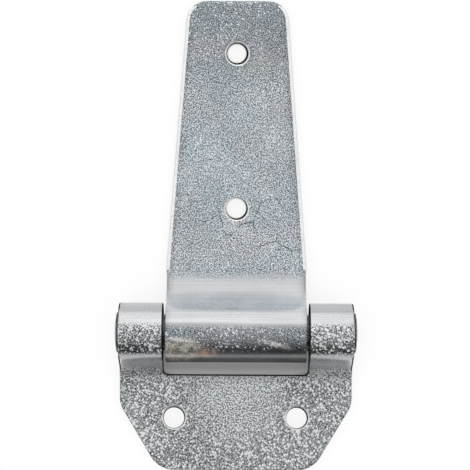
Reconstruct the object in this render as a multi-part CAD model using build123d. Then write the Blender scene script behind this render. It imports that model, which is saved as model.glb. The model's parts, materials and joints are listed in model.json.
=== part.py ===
from build123d import *
import math
import os

# Tee hinge of plated steel sheet. A tapered strap leaf and a screwed base leaf are each rolled
# into knuckles at one end, and turn on a pin that is riveted over the outer knuckles.
# Millimetres. X runs along the pin, Y towards the tip of the strap, Z out of the mounting plane.
# The origin is midway between the screw holes of the base leaf, on the mounting plane.

# Sheet, pin and the play between them
SHEET = 3.0
PIN_DIAMETER = 10.0
EYE_CLEARANCE = 0.25
KNUCKLE_LIFT = 0.1
KNUCKLE_GAP = 0.75
SEAM_GAP = 0.6

# Riveted ends of the pin
PIN_HEAD_DIAMETER = 11.2
PIN_HEAD_HEIGHT = 1.1
PIN_HEAD_BEVEL = 0.5

# Screw holes, and the edges that the punch drew in on the front of the sheet
HOLE_DIAMETER = 6.3
HOLE_BEVEL = 0.4
NOTCH_BEVEL = 0.4
EDGE_ROUND = 0.6

# Strap leaf, with its lengths up from the axis of the pin
STRAP_LENGTH = 92.8
STRAP_TIP_WIDTH = 27.6
STRAP_ROOT_WIDTH = 39.0
STRAP_TIP_RADIUS = 5.5
STRAP_ROOT_RADIUS = 40.0
STRAP_NEAR_HOLE = 34.5
STRAP_HOLE_SPACING = 43.5
STRAP_RAMP_ANGLE = 64.5
STRAP_BEND_RADIUS = 9.0

# Base leaf, with its lengths down from the axis of the pin
BASE_LENGTH = 38.8
BASE_WIDTH = 65.0
BASE_SIDE_LENGTH = 20.5
BASE_FOOT_WIDTH = 43.0
BASE_CORNER_RADIUS = 7.0
BASE_HOLE_DROP = 24.0
BASE_HOLE_SPACING = 34.4
BASE_RAMP_ANGLE = 68.0
BASE_BEND_RADIUS = 5.5
NOTCH_CLEARANCE = 3.85
NOTCH_CORNER_RADIUS = 1.2

# How far cutting outlines run past the metal, and how near a point counts as on a surface
CUT_MARGIN = 2.0
TOUCH = 0.001

# Sizes that follow from the fit of the eyes on the pin
EYE_RADIUS = PIN_DIAMETER / 2 + EYE_CLEARANCE
KNUCKLE_RADIUS = EYE_RADIUS + SHEET
AXIS_HEIGHT = KNUCKLE_RADIUS + KNUCKLE_LIFT
AXIS_Y = BASE_HOLE_DROP
CUT_HEIGHT = AXIS_HEIGHT + KNUCKLE_RADIUS + CUT_MARGIN
NOTCH_WIDTH = STRAP_ROOT_WIDTH + 2 * KNUCKLE_GAP
NOTCH_EDGE = KNUCKLE_RADIUS + NOTCH_CLEARANCE


def bend_start(ramp_angle: float, bend_radius: float) -> float:
    """Distance from the pin's axis at which a leaf leaves the mounting plane."""
    ramp = math.radians(ramp_angle)
    rise = SHEET + bend_radius - AXIS_HEIGHT
    return (KNUCKLE_RADIUS + bend_radius - rise * math.cos(ramp)) / math.sin(ramp)


STRAP_BEND_START = bend_start(STRAP_RAMP_ANGLE, STRAP_BEND_RADIUS)
BASE_BEND_START = bend_start(BASE_RAMP_ANGLE, BASE_BEND_RADIUS)


def rolled_section(length: float, ramp_angle: float, bend_radius: float) -> tuple[Wire, Face]:
    """Front line and full section of a leaf: flat, bent up to a ramp, then rolled round the pin.

    The section lies in a plane whose X runs along the leaf from the pin's axis and whose Y is
    the height above the mounting plane. Angles of the ramp and the roll are from the height.
    """
    ramp = math.radians(ramp_angle)
    start = bend_start(ramp_angle, bend_radius)
    axis = Vector(0, AXIS_HEIGHT)
    bend_centre = Vector(start, SHEET + bend_radius)
    # The roll ends where its outer corner still clears the back of the ramp.
    roll_end = ramp_angle + math.degrees(math.acos((EYE_RADIUS - SEAM_GAP) / KNUCKLE_RADIUS))

    def around(centre: Vector, radius: float, angle: float) -> Vector:
        return centre + Vector(math.sin(math.radians(angle)), math.cos(math.radians(angle))) * radius

    def ramp_line(bend: float, eye: float) -> Edge:
        normal = Vector(math.sin(ramp), math.cos(ramp))
        return Line(bend_centre - normal * bend, axis + normal * eye)

    def roll(radius: float) -> Edge:
        return CenterArc(axis, radius, 90 - ramp_angle, 360 - (roll_end - ramp_angle))

    def bend(radius: float) -> Edge:
        return CenterArc(bend_centre, radius, 270, -ramp_angle)

    front = [
        Line((length, SHEET), (start, SHEET)),
        bend(bend_radius),
        ramp_line(bend_radius, KNUCKLE_RADIUS),
        roll(KNUCKLE_RADIUS),
    ]
    back = [
        Line((length, 0), (start, 0)),
        bend(bend_radius + SHEET),
        ramp_line(bend_radius + SHEET, EYE_RADIUS),
        roll(EYE_RADIUS),
    ]
    ends = [
        Line((length, 0), (length, SHEET)),
        Line(around(axis, EYE_RADIUS, roll_end), around(axis, KNUCKLE_RADIUS, roll_end)),
    ]
    return Wire(front), Face(Wire(front + back + ends))


def front_rim(body: Part, front: Wire) -> list[Edge]:
    """Edges at which the sheared walls of a leaf meet its front."""

    def on_front(edge: Edge) -> bool:
        points = [edge @ share for share in (0.25, 0.5, 0.75)]
        return all(front.distance_to(Vector(0, point.Y, point.Z)) < TOUCH for point in points)

    walls = body.faces().filter_by(lambda face: abs(face.normal_at().Z) < TOUCH)
    return [edge for wall in walls for edge in wall.edges() if on_front(edge)]


def leaf(section: Face, front: Wire, width: float, outline: Sketch, holes: list[tuple[float, float]]) -> Part:
    """A rolled leaf trimmed to its outline, rounded along its front edges and punched."""
    body = extrude(section, width / 2, both=True) & extrude(outline, CUT_HEIGHT)
    body = fillet(front_rim(body, front), EDGE_ROUND)
    punch = Cylinder(HOLE_DIAMETER / 2, SHEET, align=(Align.CENTER, Align.CENTER, Align.MIN))
    body -= [Pos(x, y) * punch for x, y in holes]
    mouths = body.faces().filter_by(Axis.Z).sort_by(Axis.Z)[-1].inner_wires().edges()
    return chamfer(mouths, HOLE_BEVEL)


def strap_leaf() -> Part:
    """Tapered strap with its central knuckle."""
    front, section = rolled_section(STRAP_LENGTH, STRAP_RAMP_ANGLE, STRAP_BEND_RADIUS)
    plane = Plane((0, AXIS_Y, 0), x_dir=(0, 1, 0), z_dir=(1, 0, 0))
    root = STRAP_ROOT_WIDTH / 2
    tip = STRAP_TIP_WIDTH / 2
    foot = -KNUCKLE_RADIUS - CUT_MARGIN
    corners = [
        (root, foot),
        (root, STRAP_BEND_START),
        (tip, STRAP_LENGTH),
        (-tip, STRAP_LENGTH),
        (-root, STRAP_BEND_START),
        (-root, foot),
    ]
    outline = make_face(Polyline(*corners, close=True))
    rows = outline.vertices().group_by(Axis.Y)
    outline = fillet(rows[1], STRAP_ROOT_RADIUS)
    outline = fillet(outline.vertices().group_by(Axis.Y)[-1], STRAP_TIP_RADIUS)
    hole_rows = (STRAP_NEAR_HOLE, STRAP_NEAR_HOLE + STRAP_HOLE_SPACING)
    holes = [(0, AXIS_Y + row) for row in hole_rows]
    return leaf(plane * section, plane * front, STRAP_ROOT_WIDTH, Pos(0, AXIS_Y) * outline, holes)


def base_leaf() -> Part:
    """Screwed plate with cut lower corners, a notch for the strap and two outer knuckles."""
    front, section = rolled_section(BASE_LENGTH, BASE_RAMP_ANGLE, BASE_BEND_RADIUS)
    plane = Plane((0, AXIS_Y, 0), x_dir=(0, -1, 0), z_dir=(-1, 0, 0))
    side = BASE_WIDTH / 2
    toe = BASE_FOOT_WIDTH / 2
    top = KNUCKLE_RADIUS + CUT_MARGIN
    corners = [
        (side, top),
        (side, -BASE_SIDE_LENGTH),
        (toe, -BASE_LENGTH),
        (-toe, -BASE_LENGTH),
        (-side, -BASE_SIDE_LENGTH),
        (-side, top),
    ]
    plate = make_face(Polyline(*corners, close=True))
    plate = fillet(plate.vertices().filter_by(lambda corner: corner.Y < 0), BASE_CORNER_RADIUS)
    notch = Pos(0, -NOTCH_EDGE) * Rectangle(NOTCH_WIDTH, NOTCH_EDGE + top, align=(Align.CENTER, Align.MIN))
    notch = fillet(notch.vertices().group_by(Axis.Y)[0], NOTCH_CORNER_RADIUS)
    reach = BASE_HOLE_SPACING / 2
    holes = [(-reach, AXIS_Y - BASE_HOLE_DROP), (reach, AXIS_Y - BASE_HOLE_DROP)]
    body = leaf(plane * section, plane * front, BASE_WIDTH, Pos(0, AXIS_Y) * plate, holes)
    body -= extrude(Pos(0, AXIS_Y) * notch, CUT_HEIGHT)
    return chamfer(front_rim(body, plane * front), NOTCH_BEVEL)


def hinge_pin() -> Part:
    """Plain pin whose ends are spread over the outer knuckles."""
    shank = Cylinder(PIN_DIAMETER / 2, BASE_WIDTH)
    head = Cylinder(PIN_HEAD_DIAMETER / 2, PIN_HEAD_HEIGHT, align=(Align.CENTER, Align.CENTER, Align.MIN))
    head = chamfer(head.edges().sort_by(Axis.Z)[-1], PIN_HEAD_BEVEL)
    far_head = Pos(0, 0, BASE_WIDTH / 2) * head
    pin = shank + far_head + mirror(far_head, about=Plane.XY)
    return Pos(0, AXIS_Y, AXIS_HEIGHT) * Rot(0, 90, 0) * pin


def main() -> None:
    """Writes one file for each piece of the hinge."""
    os.makedirs("parts", exist_ok=True)
    pieces = {"strap_leaf": strap_leaf(), "base_leaf": base_leaf(), "hinge_pin": hinge_pin()}
    for name, piece in pieces.items():
        export_step(piece, f"parts/{name}.step")


main()
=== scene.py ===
"""Tee hinge in zinc-plated steel sheet: a strap leaf, a base leaf and a riveted pin on a white table."""

import json
import logging
import math
from collections.abc import Callable
from dataclasses import dataclass
from enum import Enum, IntEnum
from functools import reduce

import bmesh
import bpy
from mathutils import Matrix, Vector

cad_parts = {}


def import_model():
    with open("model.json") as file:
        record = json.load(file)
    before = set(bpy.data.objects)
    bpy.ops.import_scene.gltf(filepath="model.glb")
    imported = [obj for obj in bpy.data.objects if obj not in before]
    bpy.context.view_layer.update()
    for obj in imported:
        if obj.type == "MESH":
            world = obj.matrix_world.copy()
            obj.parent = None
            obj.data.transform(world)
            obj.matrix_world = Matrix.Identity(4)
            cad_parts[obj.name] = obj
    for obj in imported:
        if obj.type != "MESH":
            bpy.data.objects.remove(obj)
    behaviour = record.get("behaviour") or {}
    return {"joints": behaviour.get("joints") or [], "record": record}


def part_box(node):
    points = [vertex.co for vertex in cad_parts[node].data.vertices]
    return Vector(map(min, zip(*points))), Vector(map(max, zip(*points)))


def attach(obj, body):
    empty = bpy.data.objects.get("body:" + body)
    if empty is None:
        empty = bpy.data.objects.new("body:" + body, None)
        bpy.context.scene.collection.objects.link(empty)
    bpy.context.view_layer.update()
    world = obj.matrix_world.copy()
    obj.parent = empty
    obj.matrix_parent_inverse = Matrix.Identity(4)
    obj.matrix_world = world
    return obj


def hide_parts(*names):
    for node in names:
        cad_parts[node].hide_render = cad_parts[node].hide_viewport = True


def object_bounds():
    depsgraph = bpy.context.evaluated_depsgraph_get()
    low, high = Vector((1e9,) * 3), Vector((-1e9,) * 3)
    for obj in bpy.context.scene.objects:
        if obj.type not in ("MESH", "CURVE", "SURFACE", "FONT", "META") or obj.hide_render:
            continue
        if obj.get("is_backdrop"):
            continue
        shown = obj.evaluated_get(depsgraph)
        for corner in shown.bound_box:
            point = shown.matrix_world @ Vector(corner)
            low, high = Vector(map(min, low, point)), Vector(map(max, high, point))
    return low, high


LOG = logging.getLogger("tee_hinge")
MM = 0.001
TOUCHING = 0.001 * MM
SMOOTH_ANGLE = math.radians(40)

Point = tuple[float, float, float]
Colour = tuple[float, float, float]
Piece = bpy.types.Object
Material = bpy.types.Material
Socket = bpy.types.NodeSocket


class Body(str, Enum):
    """Moving bodies of the hinge."""

    BASE = "base"
    STRAP = "strap"


class Reach(IntEnum):
    """Which way along Y a leaf runs from the pin."""

    UP = 1
    DOWN = -1


class Surface(IntEnum):
    """Material slots of a leaf: its front and back, its rounded edges, and three kinds of wall.

    The walls are those of the holes, those of the gaps between the knuckles, and the sheared sides; those of
    the holes and gaps are near black, as painted shade.
    """

    FRONT = 0
    BACK = 1
    EDGE = 2
    BORE = 3
    GAP = 4
    WALL = 5


class Bench:
    """Modelling moves that the pieces share, made with one object at a time."""

    @staticmethod
    def clear() -> None:
        """Leaves nothing selected, in object mode."""
        if bpy.context.object and bpy.context.object.mode != "OBJECT":
            bpy.ops.object.mode_set(mode="OBJECT")
        bpy.ops.object.select_all(action="DESELECT")

    @staticmethod
    def take(piece: Piece) -> None:
        """Makes one object the only one selected, and the active one.

        Args:
            piece: The object to work on.
        """
        Bench.clear()
        piece.select_set(True)
        bpy.context.view_layer.objects.active = piece

    @staticmethod
    def settle(name: str) -> Piece:
        """Names the new primitive and moves its place into its mesh.

        Args:
            name: Name of the piece.

        Returns:
            The active object, at the origin, unturned and unscaled.
        """
        piece = bpy.context.object
        piece.name = name
        piece.data.name = name
        bpy.ops.object.transform_apply(location=True, rotation=True, scale=True)
        return piece

    @staticmethod
    def pick(piece: Piece, kind: str, test: Callable[[object], bool]) -> int:
        """Selects the parts of a mesh in edit mode that pass a test, and nothing else.

        Args:
            piece: Object in edit mode.
            kind: Elements to look at: "verts", "edges" or "faces".
            test: Says whether an element is wanted.

        Returns:
            How many were selected.
        """
        bpy.ops.mesh.select_all(action="DESELECT")
        modes = {"verts": "VERT", "edges": "EDGE", "faces": "FACE"}
        bpy.ops.mesh.select_mode(type=modes[kind])
        mesh = bmesh.from_edit_mesh(piece.data)
        wanted = [element for element in getattr(mesh, kind) if test(element)]
        for element in wanted:
            element.select_set(True)
        mesh.select_flush_mode()
        bmesh.update_edit_mesh(piece.data)
        return len(wanted)

    @staticmethod
    def apply(piece: Piece, kind: str, **settings: object) -> None:
        """Adds a modifier with its settings and applies it.

        Args:
            piece: Object to change.
            kind: Type of the modifier.
            **settings: Values of the modifier's own properties.
        """
        Bench.take(piece)
        modifier = piece.modifiers.new(kind.title(), kind)
        for key, value in settings.items():
            setattr(modifier, key, value)
        bpy.ops.object.modifier_apply(modifier=modifier.name)

    @staticmethod
    def smooth(piece: Piece) -> None:
        """Shades the active piece smooth, up to its sharp edges."""
        bpy.ops.object.shade_smooth_by_angle(angle=SMOOTH_ANGLE)
        Bench.apply(piece, "WEIGHTED_NORMAL", keep_sharp=True)

    @staticmethod
    def cut(piece: Piece, cutter: Piece, surface: Surface) -> None:
        """Cuts one object's volume out of another and removes it.

        Args:
            piece: Object to cut.
            cutter: Closed object.
            surface: What the cut walls count as.
        """
        for slot in piece.material_slots:
            cutter.data.materials.append(slot.material)
        for face in cutter.data.polygons:
            face.material_index = surface
        Bench.apply(piece, "BOOLEAN", operation="DIFFERENCE", solver="EXACT", object=cutter)
        bpy.data.objects.remove(cutter)

    @staticmethod
    def punch(hole: "Hole", sheet: float, sides: int = 96) -> Piece:
        """A punch for one hole, along Z.

        Args:
            hole: The hole to make.
            sheet: Thickness of the sheet.
            sides: Facets round it.

        Returns:
            The punch, which stands out of the sheet by its thickness on both sides.
        """
        Bench.clear()
        lean = hole.front - hole.back
        bpy.ops.mesh.primitive_cone_add(vertices=sides, radius1=hole.back - lean, radius2=hole.front + lean,
                                        depth=3 * sheet, location=(hole.place[0], hole.place[1], sheet / 2))
        punch = Bench.settle("punch")
        bpy.ops.object.mode_set(mode="EDIT")
        for end, share in ((-sheet, 2), (2 * sheet, -1)):
            Bench.pick(punch, "verts", lambda vert, end=end: abs(vert.co.z - end) < TOUCHING)
            bpy.ops.transform.translate(value=(share * hole.skew[0], share * hole.skew[1], 0))
        bpy.ops.object.mode_set(mode="OBJECT")
        return punch


@dataclass(frozen=True)
class Hole:
    """A punched hole, a little narrower and askew on the back of the sheet.

    Attributes:
        place: Its middle on the front of the sheet, in plan.
        front: Its radius on the front.
        back: Its radius on the back.
        skew: How far its middle on the back is from the one on the front.
    """

    place: Point
    front: float
    back: float
    skew: tuple[float, float]


class Recipe:
    """A material's node tree, with short calls for the nodes that the finishes use."""

    BUMP_DEPTH = 0.05 * MM
    SHEET_TURN = math.radians(33)
    LYING = (0.6, 0.8)

    def __init__(self, name: str) -> None:
        """Starts a material.

        Args:
            name: Name of the material.
        """
        self.material = bpy.data.materials.new(name)
        self.material.use_nodes = True
        self.tree = self.material.node_tree
        self.shader = self.tree.nodes["Principled BSDF"]
        source = self.node("ShaderNodeTexCoord")
        self.place = source.outputs["Object"]
        self.normal = source.outputs["Normal"]

    def node(self, kind: str, *values: object, **settings: object) -> bpy.types.Node:
        """Adds a node.

        Args:
            kind: Type of the node.
            *values: What its first inputs are linked or set to.
            **settings: Values of the node's own properties.

        Returns:
            The node.
        """
        made = self.tree.nodes.new(kind)
        for key, value in settings.items():
            setattr(made, key, value)
        for socket, value in zip(made.inputs, values):
            self.feed(socket, value)
        return made

    def feed(self, socket: Socket, value: object) -> None:
        """Links an output to an input, or sets the input's value.

        Args:
            socket: Input of a node.
            value: An output socket, a number or a colour.
        """
        if isinstance(value, Socket):
            self.tree.links.new(value, socket)
        else:
            socket.default_value = value

    def dress(self, **values: object) -> None:
        """Feeds inputs of the shader.

        Args:
            **values: What each input gets, by its name with underscores for spaces.
        """
        for name, value in values.items():
            self.feed(self.shader.inputs[name.replace("_", " ")], value)

    def math(self, operation: str, first: object, second: object = 0.0) -> Socket:
        """Works out a number from one or two others."""
        return self.node("ShaderNodeMath", first, second, operation=operation).outputs[0]

    def vector(self, operation: str, first: object, second: object) -> Socket:
        """Works out a vector from two others."""
        return self.node("ShaderNodeVectorMath", first, second, operation=operation).outputs[0]

    def plus(self, first: object, second: object) -> Socket:
        """Adds two numbers."""
        return self.math("ADD", first, second)

    def less(self, first: object, second: object) -> Socket:
        """Takes the second number from the first."""
        return self.math("SUBTRACT", first, second)

    def rest(self, share: object) -> Socket:
        """What a share leaves of the whole."""
        return self.less(1.0, share)

    def times(self, *factors: object) -> Socket:
        """Multiplies numbers, from left to right."""
        return reduce(lambda product, factor: self.math("MULTIPLY", product, factor), factors)

    def centred(self, value: object, amount: object) -> Socket:
        """Turns a value round 0.5 into one round zero, times an amount."""
        return self.times(self.less(value, 0.5), amount)

    def ramp(self, value: object, low: float, high: float, out_low: float, out_high: float) -> Socket:
        """Maps a value smoothly from one range to another.

        Args:
            value: Input socket or number.
            low: Start of the range that is read.
            high: End of the range that is read.
            out_low: Result at the start and before it.
            out_high: Result at the end and past it.

        Returns:
            The mapped value.
        """
        made = self.node("ShaderNodeMapRange", value, low, high, out_low, out_high,
                         interpolation_type="SMOOTHSTEP")
        return made.outputs[0]

    def axes(self) -> list[Socket]:
        """Splits the place into X, Y and Z."""
        return list(self.node("ShaderNodeSeparateXYZ", self.place).outputs)

    def between(self, share: object, first: object, second: object) -> Socket:
        """Mixes two numbers.

        Args:
            share: Share of the second number.
            first: A number, or an output socket.
            second: A number, or an output socket.

        Returns:
            The mixed number.
        """
        made = self.node("ShaderNodeMix", share, data_type="FLOAT")
        for socket, value in zip(made.inputs[2:4], (first, second)):
            self.feed(socket, value)
        return made.outputs[0]

    def blend(self, share: object, first: object, second: object) -> Socket:
        """Mixes two colours.

        Args:
            share: Share of the second colour.
            first: A colour, or an output socket.
            second: A colour, or an output socket.

        Returns:
            The mixed colour.
        """
        made = self.node("ShaderNodeMix", share, data_type="RGBA", clamp_factor=True)
        for socket, colour in zip(made.inputs[6:8], (first, second)):
            self.feed(socket, (*colour, 1.0) if isinstance(colour, tuple) else colour)
        return made.outputs[2]

    def scaled(self, colour: Socket, factor: object) -> Socket:
        """Makes a colour lighter or darker.

        Args:
            colour: The colour.
            factor: How much lighter it gets.

        Returns:
            The changed colour, which can be above 1.
        """
        made = self.node("ShaderNodeVectorMath", colour, operation="SCALE")
        self.feed(made.inputs["Scale"], factor)
        return made.outputs[0]

    def cloud(self, place: Socket, scale: float, detail: float, dimensions: str = "3D") -> bpy.types.Node:
        """Adds a noise texture.

        Args:
            place: Where it is read.
            scale: Its features in one unit of length.
            detail: Octaves of finer noise.
            dimensions: "3D", or "2D" for a flat one.

        Returns:
            The node.
        """
        made = self.node("ShaderNodeTexNoise", place, noise_dimensions=dimensions)
        self.feed(made.inputs["Scale"], scale)
        self.feed(made.inputs["Detail"], detail)
        return made

    def noise(self, size: float, detail: float = 2.0, stretch: Point = (1, 1, 1),
              shift: float = 0.0) -> Socket:
        """Adds soft noise.

        Args:
            size: Width of its features, in metres.
            detail: Octaves of finer noise.
            stretch: How much longer the features are along X, Y and Z.
            shift: Moves the pattern, so that two of one size differ.

        Returns:
            Its value, about 0.5 on average.
        """
        place = self.place
        if shift:
            place = self.vector("ADD", self.place, (shift, shift, shift))
        if stretch != (1, 1, 1):
            place = self.vector("DIVIDE", place, stretch)
        return self.cloud(place, 1 / size, detail).outputs["Fac"]

    def on_sheet(self, size: float, shift: float, pattern: Callable[[Socket], Socket]) -> Socket:
        """Lays a flat pattern on the sheet: along X and Y where it lies, along X and Z where it stands.

        Args:
            size: Length that counts as one in the pattern, in metres.
            shift: Moves the pattern, in such lengths, so that two of one size differ.
            pattern: Makes the pattern from a flat place.

        Returns:
            The pattern's value.
        """
        x, y, z = self.axes()
        values = []
        for across in (z, y):
            first = self.plus(self.math("DIVIDE", x, size), shift)
            place = self.node("ShaderNodeCombineXYZ", first, self.math("DIVIDE", across, size))
            turn = self.node("ShaderNodeVectorRotate", place.outputs[0], rotation_type="Z_AXIS")
            self.feed(turn.inputs["Angle"], self.SHEET_TURN)
            values.append(pattern(turn.outputs[0]))
        upward = self.node("ShaderNodeSeparateXYZ", self.normal).outputs[2]
        lying = self.ramp(self.math("ABSOLUTE", upward), *self.LYING, 0, 1)
        return self.between(lying, *values)

    def sheet_noise(self, size: float) -> Socket:
        """Adds even noise on the face of the sheet, about 0.5 on average, with features of a size."""
        return self.on_sheet(size, 0.0, lambda place: self.cloud(place, 1.0, 0.0, "2D").outputs["Fac"])

    def dots(self, spacing: float, radius: object, shift: float, scarcity: float) -> Socket:
        """Adds uneven dots of all sizes, strewn over the face of the sheet.

        Args:
            spacing: Mean distance between them, in metres.
            radius: Radius of the largest, as a share of the spacing.
            shift: Moves the pattern, in spacings, so that two of one spacing differ.
            scarcity: Share of the places that stay empty.

        Returns:
            1 on a dot and 0 beside it.
        """
        bends, bend_reach = 2.2, 0.6
        least_radius = 0.001
        rim = (0.7, 1.05)

        def pattern(place: Socket) -> Socket:
            """Strews dots on a plane, one in each of its cells.

            Args:
                place: Where the plane is read.

            Returns:
                1 on a dot and 0 beside it.
            """
            bend = self.cloud(place, bends, 0.0, "2D").outputs["Color"]
            place = self.vector("ADD", place, self.vector("MULTIPLY", bend, (bend_reach, bend_reach, 0)))
            made = self.node("ShaderNodeTexVoronoi", place, voronoi_dimensions="2D")
            self.feed(made.inputs["Scale"], 1.0)
            chance = self.node("ShaderNodeSeparateColor", made.outputs["Color"]).outputs[0]
            share = self.math("DIVIDE", self.less(chance, scarcity), 1 - scarcity)
            own = self.math("MAXIMUM", self.times(share, radius), least_radius)
            return self.ramp(self.math("DIVIDE", made.outputs["Distance"], own), *rim, 1, 0)

        return self.on_sheet(spacing, shift, pattern)

    def hairlines(self, spacing: float, width: float) -> Socket:
        """Adds thin crooked lines that meet like cracks.

        Args:
            spacing: Distance between them, in metres.
            width: Their width, as a share of the spacing.

        Returns:
            1 on a line and 0 beside it.
        """
        bends, bend_reach = 1.8, 0.26 * spacing
        bend = self.cloud(self.place, bends / spacing, 2.0).outputs["Color"]
        place = self.vector("ADD", self.place, self.vector("MULTIPLY", bend, (bend_reach, bend_reach, 0)))
        made = self.node("ShaderNodeTexVoronoi", place, feature="DISTANCE_TO_EDGE", voronoi_dimensions="2D")
        self.feed(made.inputs["Scale"], 1 / spacing)
        return self.ramp(made.outputs["Distance"], 0.5 * width, width, 1, 0)

    def openness(self, reach: float, samples: int) -> Socket:
        """Tells open places from those that other surfaces close in.

        Args:
            reach: Distance within which a surface counts, in metres.
            samples: Directions that are tried.

        Returns:
            1 in the open, and less where surfaces are near.
        """
        made = self.node("ShaderNodeAmbientOcclusion", samples=samples)
        self.feed(made.inputs["Distance"], reach)
        return made.outputs["AO"]

    def bump(self, height: Socket, strength: float) -> None:
        """Makes the surface uneven.

        Args:
            height: Height of each place, as a share of the bump's depth.
            strength: How much of it shows.
        """
        made = self.node("ShaderNodeBump", strength)
        self.feed(made.inputs["Distance"], self.BUMP_DEPTH)
        self.feed(made.inputs["Height"], height)
        self.dress(Normal=made.outputs[0])


@dataclass(frozen=True)
class Spot:
    """What a plating depends on at each place of a leaf.

    Attributes:
        x: Distance across the leaf.
        run: Distance along it from the pin's axis.
        z: Height above the mounting plane.
        grainy: 1 where the grain shows, 0 where the sheet was formed.
        spread: Strength of the flecks.
        grain: Fine noise of the grain.
        mottle: Wide noise.
        streak: Fine noise drawn out across the leaf.
    """

    x: Socket
    run: Socket
    z: Socket
    grainy: Socket
    spread: Socket
    grain: Socket
    mottle: Socket
    streak: Socket


@dataclass(frozen=True)
class Band:
    """A stretch of a leaf along Y, measured from the pin's axis.

    Attributes:
        start: Its lower end.
        end: Its upper end.
        soft: Half the length over which each end fades.
    """

    start: float
    end: float
    soft: float = 0.9 * MM

    def mask(self, recipe: Recipe, run: Socket) -> Socket:
        """1 inside the stretch and 0 outside.

        Args:
            recipe: Material to add the nodes to.
            run: Distance along the leaf from the pin's axis.

        Returns:
            The mask.
        """
        rise = recipe.ramp(run, self.start - self.soft, self.start + self.soft, 0, 1)
        fall = recipe.ramp(run, self.end - self.soft, self.end + self.soft, 1, 0)
        return recipe.times(rise, fall)


@dataclass(frozen=True)
class RubAndShade:
    """A soft mark on the plating: rubbed spots and stains, and one patch of painted shade round a hole.

    Attributes:
        centre: Its middle, across the leaf and along it from the pin's axis.
        reach: Its half sizes in the same directions.
        colour: Colour of the mark.
        strength: How much of the plating it hides.
        tilt: How far it drops along the leaf for each step across it.
        height: Least height above the mounting plane at which it shows.
    """

    centre: tuple[float, float]
    reach: tuple[float, float]
    colour: Colour
    strength: float
    tilt: float = 0.0
    height: float = 7 * MM

    def mask(self, recipe: Recipe, spot: Spot) -> Socket:
        """Where the mark shows, broken up by noise.

        Args:
            recipe: Material to add the nodes to.
            spot: Values at a place of the leaf.

        Returns:
            How much of the plating it hides.
        """
        patch_size, patch_levels, wear_levels = 2.2 * MM, (0.38, 0.55), (0.4, 0.6)
        least, rim = 0.45, (0.1, 1.2)
        beside = recipe.less(spot.x, self.centre[0])
        level = recipe.plus(spot.run, recipe.times(beside, self.tilt))
        across = recipe.math("DIVIDE", beside, self.reach[0])
        along = recipe.math("DIVIDE", recipe.less(level, self.centre[1]), self.reach[1])
        far = recipe.plus(recipe.times(across, across), recipe.times(along, along))
        fade = recipe.ramp(far, *rim, self.strength, 0)
        above = recipe.ramp(spot.z, self.height - MM, self.height, 0, 1)
        patches = recipe.ramp(recipe.noise(patch_size, shift=self.reach[0]), *patch_levels, least, 1)
        wear = recipe.ramp(spot.grain, *wear_levels, least, 1)
        return recipe.times(fade, above, patches, wear)


STRAP_RUBS_AND_SHADE = (
    RubAndShade((-15.2 * MM, -4.2 * MM), (6.6 * MM, 3.8 * MM), (0.80, 0.74, 0.64), 1.0),
    RubAndShade((-15.3 * MM, -1.6 * MM), (4.9 * MM, 0.6 * MM), (0.97, 0.95, 0.92), 0.95, 0.12),
    RubAndShade((-8.0 * MM, -4.9 * MM), (3.3 * MM, 2.0 * MM), (0.74, 0.50, 0.38), 0.9),
    RubAndShade((10.8 * MM, -2.8 * MM), (5.8 * MM, 0.9 * MM), (0.95, 0.94, 0.91), 0.9, 0.26),
    RubAndShade((6.5 * MM, 75 * MM), (6.5 * MM, 5.0 * MM), (0.62, 0.57, 0.50), 0.25, height=2 * MM),
    # Painted shade round the upper screw hole.
    RubAndShade((0, 78 * MM), (4.9 * MM, 4.9 * MM), (0.16, 0.18, 0.19), 0.6, height=2 * MM),
)


@dataclass(frozen=True)
class SideShade:
    """Painted shade along the tapering sides of a leaf.

    Attributes:
        half_width: Half the leaf's width where its sides would meet the pin's axis.
        taper: How much nearer each side comes for each step along the leaf.
        reach: Width of the borders.
        shade: Brightness at the very side.
    """

    half_width: float
    taper: float
    reach: float
    shade: float

    def tint(self, recipe: Recipe, x: Socket, run: Socket) -> Socket:
        """Brightness of a place on the leaf.

        Args:
            recipe: Material to add the nodes to.
            x: Distance across the leaf.
            run: Distance along the leaf from the pin's axis.

        Returns:
            A factor, 1 away from the sides.
        """
        side = recipe.less(self.half_width, recipe.times(run, self.taper))
        inside = recipe.less(side, recipe.math("ABSOLUTE", x))
        return recipe.ramp(inside, 0, self.reach, self.shade, 1)


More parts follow.
